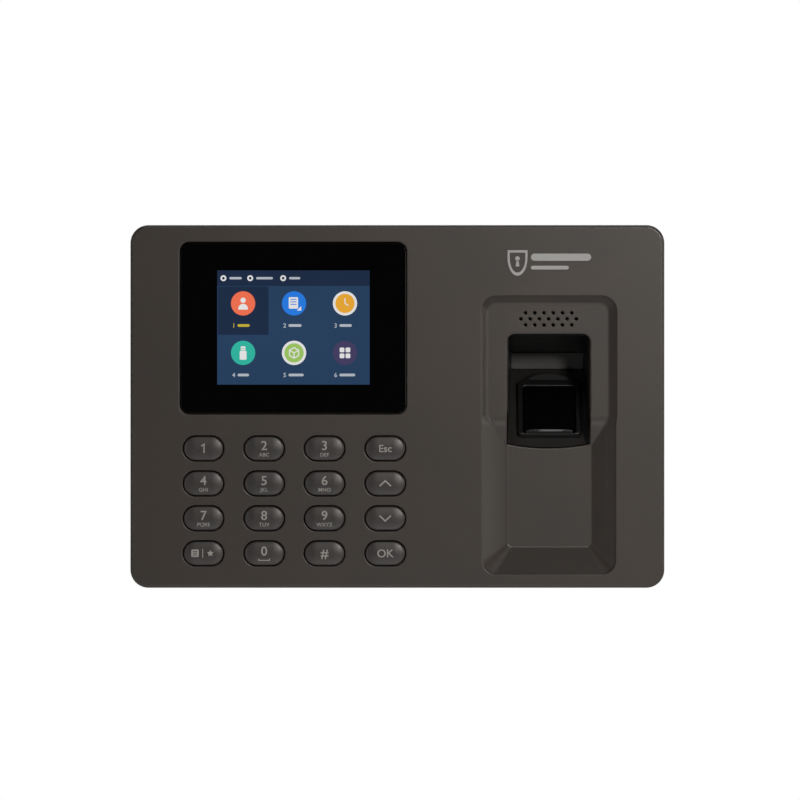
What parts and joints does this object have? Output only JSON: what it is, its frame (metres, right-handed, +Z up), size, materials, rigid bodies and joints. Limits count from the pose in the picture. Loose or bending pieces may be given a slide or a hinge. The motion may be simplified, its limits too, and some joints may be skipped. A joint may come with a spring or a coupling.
{
  "type": "fingerprint scanner terminal",
  "caption": "Wall-mounted access terminal with a colour display, sprung keypad, speaker grille, sloping finger channel and tilted optical fingerprint window.",
  "frame": {"origin": "centre of the wall bracket, on the wall plane", "axes": "+X to the right seen from the front, +Y into the wall, +Z up; the front faces -Y"},
  "size_m": [0.1716, 0.039, 0.1166],
  "materials": {
    "shell": "fine-textured satin, warm dark grey",
    "rear_shell": "spark-eroded matte, dark grey",
    "key_plastic": "satin, warm grey",
    "black_plastic": "satin black",
    "window_glass": "gloss black acrylic with a clear display area",
    "sensor_glass": "polished optical glass, black behind",
    "display": "lit colour display",
    "silicone": "translucent grey silicone",
    "foam": "black foam",
    "circuit_board": "green solder mask",
    "ribbon_film": "amber polyimide film",
    "zinc_steel": "zinc-plated sheet",
    "bright_steel": "nickel-plated",
    "terminal_green": "satin green",
    "button_plastic": "natural nylon"
  },
  "bodies": {
    "terminal": {"board_screw_1": "bright_steel", "board_screw_2": "bright_steel", "board_screw_3": "bright_steel", "board_screw_4": "bright_steel", "coin_cell": "bright_steel", "coin_cell_holder": "black_plastic", "cover_screw_1": "bright_steel", "cover_screw_2": "bright_steel", "cover_screw_3": "bright_steel", "cover_screw_4": "bright_steel", "dc_jack": "black_plastic", "display_window": "window_glass", "ethernet_jack": "zinc_steel", "front_cover": "shell", "keypad_board": "circuit_board", "keypad_mat": "silicone", "keypad_screw_1": "bright_steel", "keypad_screw_2": "bright_steel", "keypad_screw_3": "bright_steel", "keypad_screw_4": "bright_steel", "lcd_frame": "zinc_steel", "lcd_panel": "display", "lcd_ribbon": "ribbon_film", "lock_screw": "bright_steel", "main_board": "circuit_board", "processor_shield": "zinc_steel", "rear_cover": "rear_shell", "sensor_bezel": "black_plastic", "sensor_board": "circuit_board", "sensor_body": "black_plastic", "sensor_camera": "black_plastic", "sensor_prism": "sensor_glass", "speaker": "black_plastic", "speaker_gasket": "foam", "tamper_switch": "black_plastic", "terminal_block": "terminal_green", "usb_port": "zinc_steel", "wall_bracket": "zinc_steel"},
    "key_0": {"key_0": "key_plastic"},
    "key_1": {"key_1": "key_plastic"},
    "key_2": {"key_2": "key_plastic"},
    "key_3": {"key_3": "key_plastic"},
    "key_4": {"key_4": "key_plastic"},
    "key_5": {"key_5": "key_plastic"},
    "key_6": {"key_6": "key_plastic"},
    "key_7": {"key_7": "key_plastic"},
    "key_8": {"key_8": "key_plastic"},
    "key_9": {"key_9": "key_plastic"},
    "key_down": {"key_down": "key_plastic"},
    "key_esc": {"key_esc": "key_plastic"},
    "key_hash": {"key_hash": "key_plastic"},
    "key_ok": {"key_ok": "key_plastic"},
    "key_star": {"key_star": "key_plastic"},
    "key_up": {"key_up": "key_plastic"},
    "tamper_plunger": {"tamper_plunger": "button_plastic"}
  },
  "joints": [
    {"name": "key_0_press", "type": "slide", "parent": "terminal", "child": "key_0", "axis": [0, 1, 0], "range_m": [0, 0.0009], "stiffness_N_per_m": 1200, "deforming": ["keypad_mat"]},
    {"name": "key_1_press", "type": "slide", "parent": "terminal", "child": "key_1", "axis": [0, 1, 0], "range_m": [0, 0.0009], "stiffness_N_per_m": 1200, "deforming": ["keypad_mat"]},
    {"name": "key_2_press", "type": "slide", "parent": "terminal", "child": "key_2", "axis": [0, 1, 0], "range_m": [0, 0.0009], "stiffness_N_per_m": 1200, "deforming": ["keypad_mat"]},
    {"name": "key_3_press", "type": "slide", "parent": "terminal", "child": "key_3", "axis": [0, 1, 0], "range_m": [0, 0.0009], "stiffness_N_per_m": 1200, "deforming": ["keypad_mat"]},
    {"name": "key_4_press", "type": "slide", "parent": "terminal", "child": "key_4", "axis": [0, 1, 0], "range_m": [0, 0.0009], "stiffness_N_per_m": 1200, "deforming": ["keypad_mat"]},
    {"name": "key_5_press", "type": "slide", "parent": "terminal", "child": "key_5", "axis": [0, 1, 0], "range_m": [0, 0.0009], "stiffness_N_per_m": 1200, "deforming": ["keypad_mat"]},
    {"name": "key_6_press", "type": "slide", "parent": "terminal", "child": "key_6", "axis": [0, 1, 0], "range_m": [0, 0.0009], "stiffness_N_per_m": 1200, "deforming": ["keypad_mat"]},
    {"name": "key_7_press", "type": "slide", "parent": "terminal", "child": "key_7", "axis": [0, 1, 0], "range_m": [0, 0.0009], "stiffness_N_per_m": 1200, "deforming": ["keypad_mat"]},
    {"name": "key_8_press", "type": "slide", "parent": "terminal", "child": "key_8", "axis": [0, 1, 0], "range_m": [0, 0.0009], "stiffness_N_per_m": 1200, "deforming": ["keypad_mat"]},
    {"name": "key_9_press", "type": "slide", "parent": "terminal", "child": "key_9", "axis": [0, 1, 0], "range_m": [0, 0.0009], "stiffness_N_per_m": 1200, "deforming": ["keypad_mat"]},
    {"name": "key_down_press", "type": "slide", "parent": "terminal", "child": "key_down", "axis": [0, 1, 0], "range_m": [0, 0.0009], "stiffness_N_per_m": 1200, "deforming": ["keypad_mat"]},
    {"name": "key_esc_press", "type": "slide", "parent": "terminal", "child": "key_esc", "axis": [0, 1, 0], "range_m": [0, 0.0009], "stiffness_N_per_m": 1200, "deforming": ["keypad_mat"]},
    {"name": "key_hash_press", "type": "slide", "parent": "terminal", "child": "key_hash", "axis": [0, 1, 0], "range_m": [0, 0.0009], "stiffness_N_per_m": 1200, "deforming": ["keypad_mat"]},
    {"name": "key_ok_press", "type": "slide", "parent": "terminal", "child": "key_ok", "axis": [0, 1, 0], "range_m": [0, 0.0009], "stiffness_N_per_m": 1200, "deforming": ["keypad_mat"]},
    {"name": "key_star_press", "type": "slide", "parent": "terminal", "child": "key_star", "axis": [0, 1, 0], "range_m": [0, 0.0009], "stiffness_N_per_m": 1200, "deforming": ["keypad_mat"]},
    {"name": "key_up_press", "type": "slide", "parent": "terminal", "child": "key_up", "axis": [0, 1, 0], "range_m": [0, 0.0009], "stiffness_N_per_m": 1200, "deforming": ["keypad_mat"]},
    {"name": "tamper_press", "type": "slide", "parent": "terminal", "child": "tamper_plunger", "axis": [0, -1, 0], "range_m": [0, 0.0012], "stiffness_N_per_m": 600}
  ]
}
